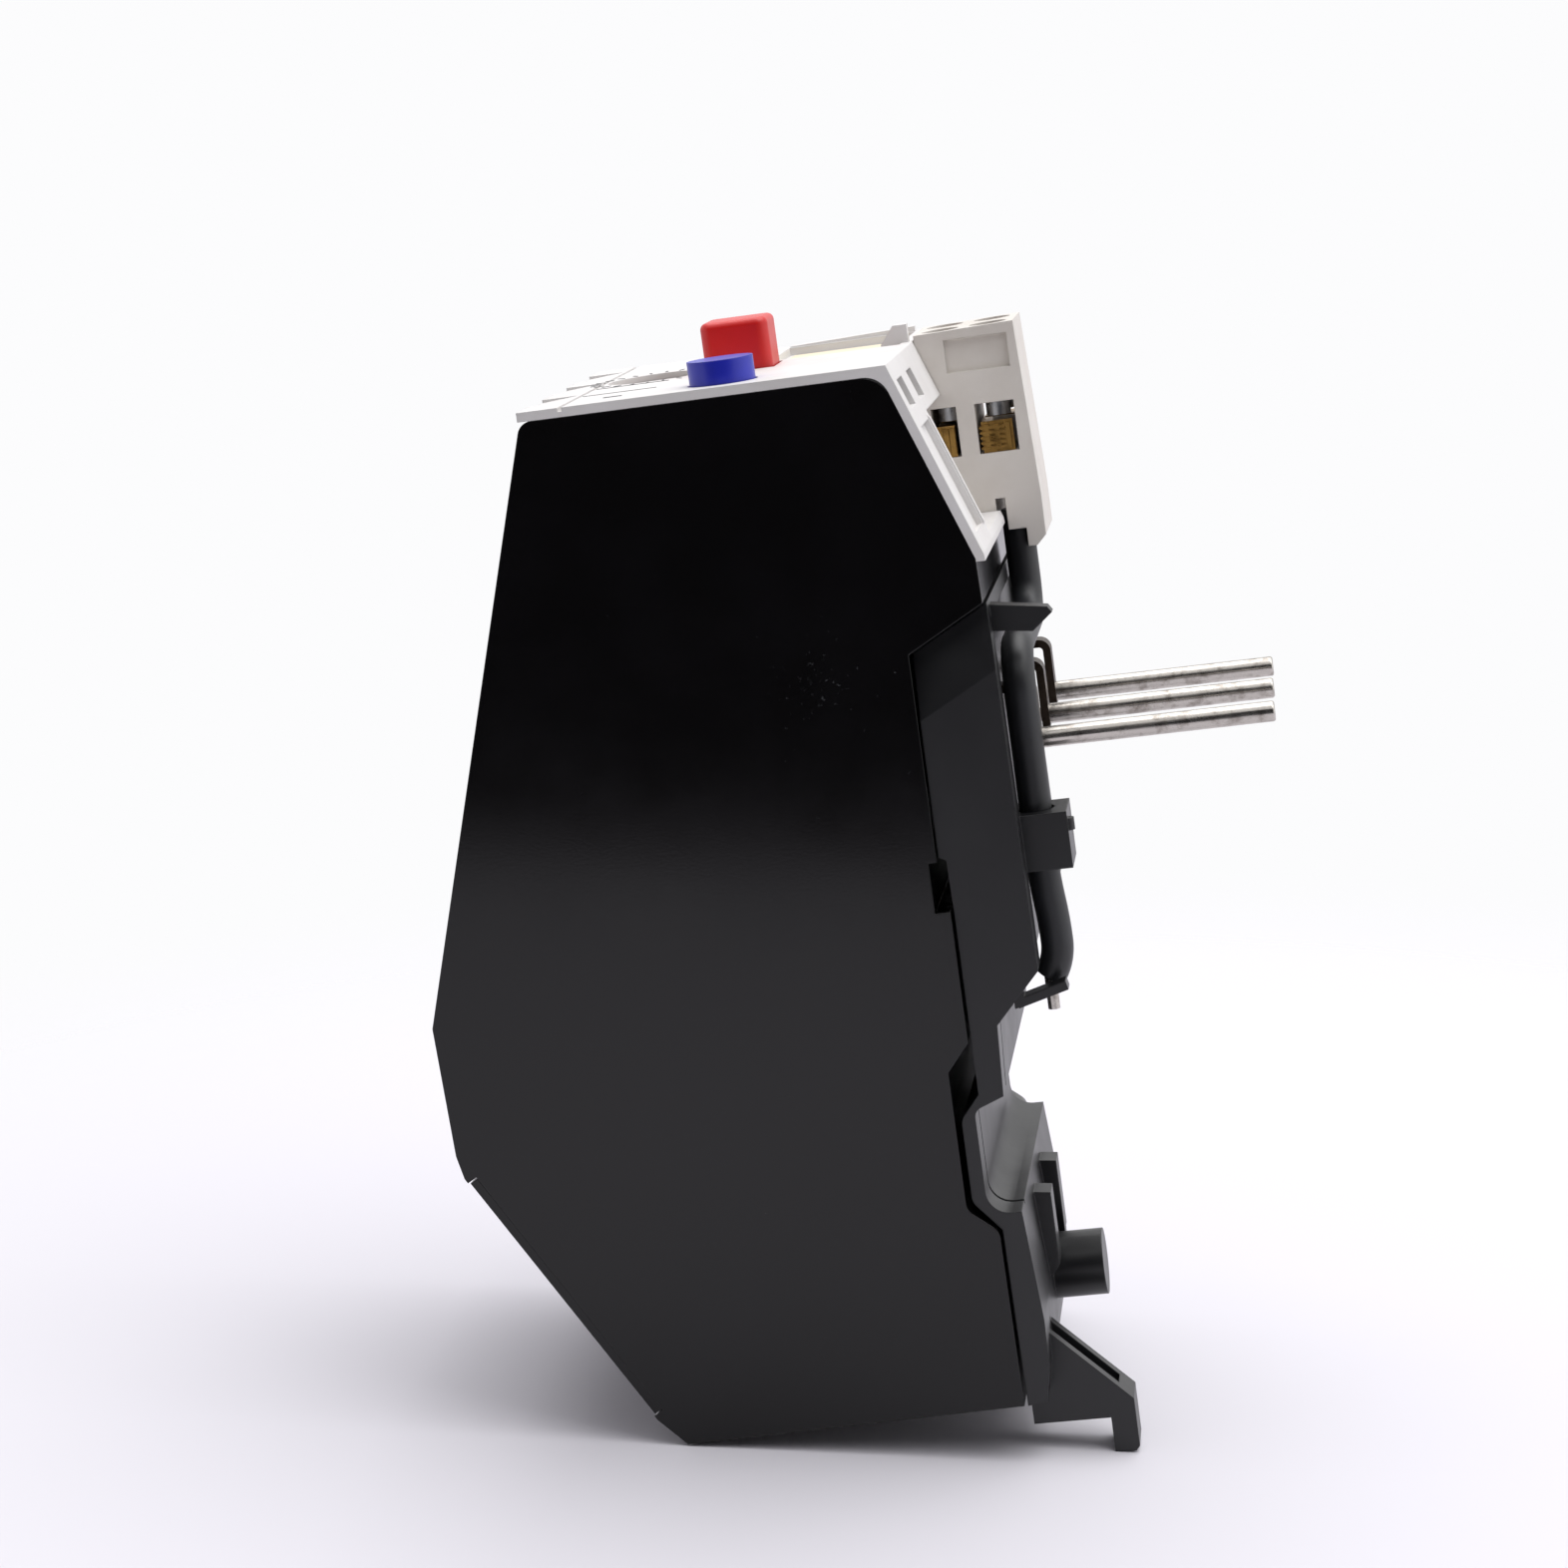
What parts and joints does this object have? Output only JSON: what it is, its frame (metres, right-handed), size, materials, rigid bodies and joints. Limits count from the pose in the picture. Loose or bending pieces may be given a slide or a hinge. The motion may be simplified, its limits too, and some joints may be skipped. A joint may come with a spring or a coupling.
{
  "type": "thermal overload relay",
  "caption": "Plug-on thermal overload relay with round plug pins, a setting dial, reset and stop buttons and a wired auxiliary block.",
  "frame": {"origin": "root of the middle plug pin, on its axis", "axes": "+X along the plug pins, out of the plug side; +Y across the width, away from the side with the latch foot; +Z towards the front face with the buttons"},
  "size_m": [0.0853, 0.045, 0.1155],
  "materials": {
    "housing_black": "moulded, fine satin texture",
    "base_black": "moulded, satin",
    "cover_grey": "moulded, fine matt texture",
    "block_grey": "moulded, fine matt texture",
    "dial_grey": "moulded, matt",
    "button_blue": "moulded, polished",
    "button_red": "moulded, polished",
    "flag_yellow": "moulded, matt",
    "lead_black": "extruded insulation, dull",
    "tinned_copper": "tin plated, bright",
    "dark_copper": "oxidised strip",
    "plated_steel": "zinc plated",
    "brass": "stamped",
    "bimetal": "rolled strip",
    "heater_sleeve": "glass-fibre sleeve with a flat winding",
    "slide_white": "moulded",
    "frame_natural": "moulded",
    "spring_steel": "drawn wire",
    "silver_alloy": "contact strip"
  },
  "bodies": {
    "relay_body": {"housing": "housing_black", "rear_plate": "housing_black", "front_cover": "cover_grey", "aux_block": "block_grey", "mounting_base": "base_black", "connecting_lead": "lead_black", "lead_tip": "tinned_copper", "aux_clamps": "brass", "reset_spring": "spring_steel", "stop_spring": "spring_steel", "mechanism_frame": "frame_natural", "nc_contact": "silver_alloy", "no_contact": "silver_alloy", "plug_pin_1": "tinned_copper", "pole_link_1": "dark_copper", "terminal_bar_1": "dark_copper", "plug_pin_2": "tinned_copper", "pole_link_2": "dark_copper", "terminal_bar_2": "dark_copper", "plug_pin_3": "tinned_copper", "pole_link_3": "dark_copper", "terminal_bar_3": "dark_copper"},
    "reset_button": {"reset_button": "button_blue"},
    "stop_button": {"stop_button": "button_red"},
    "current_dial": {"current_dial": "dial_grey"},
    "setting_slider": {"setting_slider": "slide_white"},
    "push_bar": {"push_bar": "slide_white"},
    "release_bar": {"release_bar": "slide_white"},
    "trip_flag": {"trip_flag": "flag_yellow"},
    "nc_spring": {"nc_spring": "silver_alloy"},
    "no_spring": {"no_spring": "silver_alloy"},
    "trip_lever": {"trip_lever": "slide_white", "compensation_strip": "bimetal"},
    "bimetal_1": {"bimetal_1": "bimetal", "heater_1": "heater_sleeve"},
    "main_screw_1": {"main_screw_1": "plated_steel"},
    "main_clamp_1": {"main_clamp_1": "plated_steel"},
    "bimetal_2": {"bimetal_2": "bimetal", "heater_2": "heater_sleeve"},
    "main_screw_2": {"main_screw_2": "plated_steel"},
    "main_clamp_2": {"main_clamp_2": "plated_steel"},
    "bimetal_3": {"bimetal_3": "bimetal", "heater_3": "heater_sleeve"},
    "main_screw_3": {"main_screw_3": "plated_steel"},
    "main_clamp_3": {"main_clamp_3": "plated_steel"},
    "aux_screw_1": {"aux_screw_1": "plated_steel"},
    "aux_screw_2": {"aux_screw_2": "plated_steel"},
    "aux_screw_3": {"aux_screw_3": "plated_steel"},
    "aux_screw_4": {"aux_screw_4": "plated_steel"}
  },
  "joints": [
    {"name": "reset_press", "type": "slide", "parent": "relay_body", "child": "reset_button", "axis": [0, 0, -1], "range_m": [0, 0.003], "stiffness_N_per_m": 300, "springref_m": -0.001, "deforming": ["reset_spring"]},
    {"name": "stop_press", "type": "slide", "parent": "relay_body", "child": "stop_button", "axis": [0, 0, -1], "range_m": [0, 0.003], "stiffness_N_per_m": 300, "springref_m": -0.001, "deforming": ["stop_spring"]},
    {"name": "dial_turn", "type": "hinge", "parent": "relay_body", "child": "current_dial", "pos_m": [-0.0353, 0.002, 0.03725], "axis": [0, 0, 1], "range_deg": [-135, 135]},
    {"name": "setting_slide", "type": "slide", "parent": "relay_body", "child": "setting_slider", "axis": [0, 0, 1], "range_m": [-0.00076, 0.00076]},
    {"name": "push_slide", "type": "slide", "parent": "relay_body", "child": "push_bar", "axis": [0, 1, 0], "range_m": [0, 0.002], "stiffness_N_per_m": 500},
    {"name": "release_slide", "type": "slide", "parent": "relay_body", "child": "release_bar", "axis": [0, 1, 0], "range_m": [0, 0.002]},
    {"name": "lever_pivot", "type": "hinge", "parent": "relay_body", "child": "trip_lever", "pos_m": [-0.0305, 0.00645, 0.00825], "axis": [1, 0, 0], "range_deg": [0, 8]},
    {"name": "flag_slide", "type": "slide", "parent": "relay_body", "child": "trip_flag", "axis": [0, 0, 1], "range_m": [0, 0.001]},
    {"name": "nc_flex", "type": "hinge", "parent": "relay_body", "child": "nc_spring", "pos_m": [-0.028, 0.005, 0.01455], "axis": [1, 0, 0], "range_deg": [0, 10.8]},
    {"name": "no_flex", "type": "hinge", "parent": "relay_body", "child": "no_spring", "pos_m": [-0.0257, 0.005, 0.01455], "axis": [1, 0, 0], "range_deg": [0, 10.8]},
    {"name": "bimetal_bend_1", "type": "hinge", "parent": "relay_body", "child": "bimetal_1", "pos_m": [-0.0335, -0.0129, -0.0523], "axis": [-1, 0, 0], "range_deg": [0, 2.6]},
    {"name": "bimetal_bend_2", "type": "hinge", "parent": "relay_body", "child": "bimetal_2", "pos_m": [-0.0335, 0, -0.0523], "axis": [-1, 0, 0], "range_deg": [0, 2.6]},
    {"name": "bimetal_bend_3", "type": "hinge", "parent": "relay_body", "child": "bimetal_3", "pos_m": [-0.0335, 0.0129, -0.0523], "axis": [-1, 0, 0], "range_deg": [0, 2.6]},
    {"name": "main_screw_turn_1", "type": "hinge", "parent": "relay_body", "child": "main_screw_1", "pos_m": [-0.056, -0.0129, -0.01525], "axis": [0, 0, -1], "range_deg": [0, 1700]},
    {"name": "main_clamp_rise_1", "type": "slide", "parent": "relay_body", "child": "main_clamp_1", "axis": [0, 0, 1], "range_m": [0, 0.0033]},
    {"name": "main_screw_turn_2", "type": "hinge", "parent": "relay_body", "child": "main_screw_2", "pos_m": [-0.056, 0, -0.01525], "axis": [0, 0, -1], "range_deg": [0, 1700]},
    {"name": "main_clamp_rise_2", "type": "slide", "parent": "relay_body", "child": "main_clamp_2", "axis": [0, 0, 1], "range_m": [0, 0.0033]},
    {"name": "main_screw_turn_3", "type": "hinge", "parent": "relay_body", "child": "main_screw_3", "pos_m": [-0.056, 0.0129, -0.01525], "axis": [0, 0, -1], "range_deg": [0, 1700]},
    {"name": "main_clamp_rise_3", "type": "slide", "parent": "relay_body", "child": "main_clamp_3", "axis": [0, 0, 1], "range_m": [0, 0.0033]},
    {"name": "aux_screw_turn_1", "type": "hinge", "parent": "relay_body", "child": "aux_screw_1", "pos_m": [-0.0019, 0.0082, 0.03365], "axis": [0, 0, 1], "range_deg": [0, 720]},
    {"name": "aux_screw_turn_2", "type": "hinge", "parent": "relay_body", "child": "aux_screw_2", "pos_m": [-0.0068, 0.0082, 0.03365], "axis": [0, 0, 1], "range_deg": [0, 720]},
    {"name": "aux_screw_turn_3", "type": "hinge", "parent": "relay_body", "child": "aux_screw_3", "pos_m": [-0.0019, 0.0143, 0.03365], "axis": [0, 0, 1], "range_deg": [0, 720]},
    {"name": "aux_screw_turn_4", "type": "hinge", "parent": "relay_body", "child": "aux_screw_4", "pos_m": [-0.0068, 0.0143, 0.03365], "axis": [0, 0, 1], "range_deg": [0, 720]}
  ],
  "couplings": [
    {"joint": "setting_slide", "follows": "dial_turn", "m_per_rad": 0.000318},
    {"joint": "release_slide", "follows": "push_slide", "ratio": 1},
    {"joint": "lever_pivot", "follows": "push_slide", "rad_per_m": 68},
    {"joint": "flag_slide", "follows": "push_slide", "ratio": 0.5},
    {"joint": "nc_flex", "follows": "push_slide", "rad_per_m": 92},
    {"joint": "no_flex", "follows": "push_slide", "rad_per_m": 92},
    {"joint": "bimetal_bend_1", "follows": "push_slide", "rad_per_m": 21.6},
    {"joint": "bimetal_bend_2", "follows": "push_slide", "rad_per_m": 21.6},
    {"joint": "bimetal_bend_3", "follows": "push_slide", "rad_per_m": 21.6},
    {"joint": "main_screw_turn_1", "follows": "main_clamp_rise_1", "rad_per_m": 8970},
    {"joint": "main_screw_turn_2", "follows": "main_clamp_rise_2", "rad_per_m": 8970},
    {"joint": "main_screw_turn_3", "follows": "main_clamp_rise_3", "rad_per_m": 8970}
  ]
}
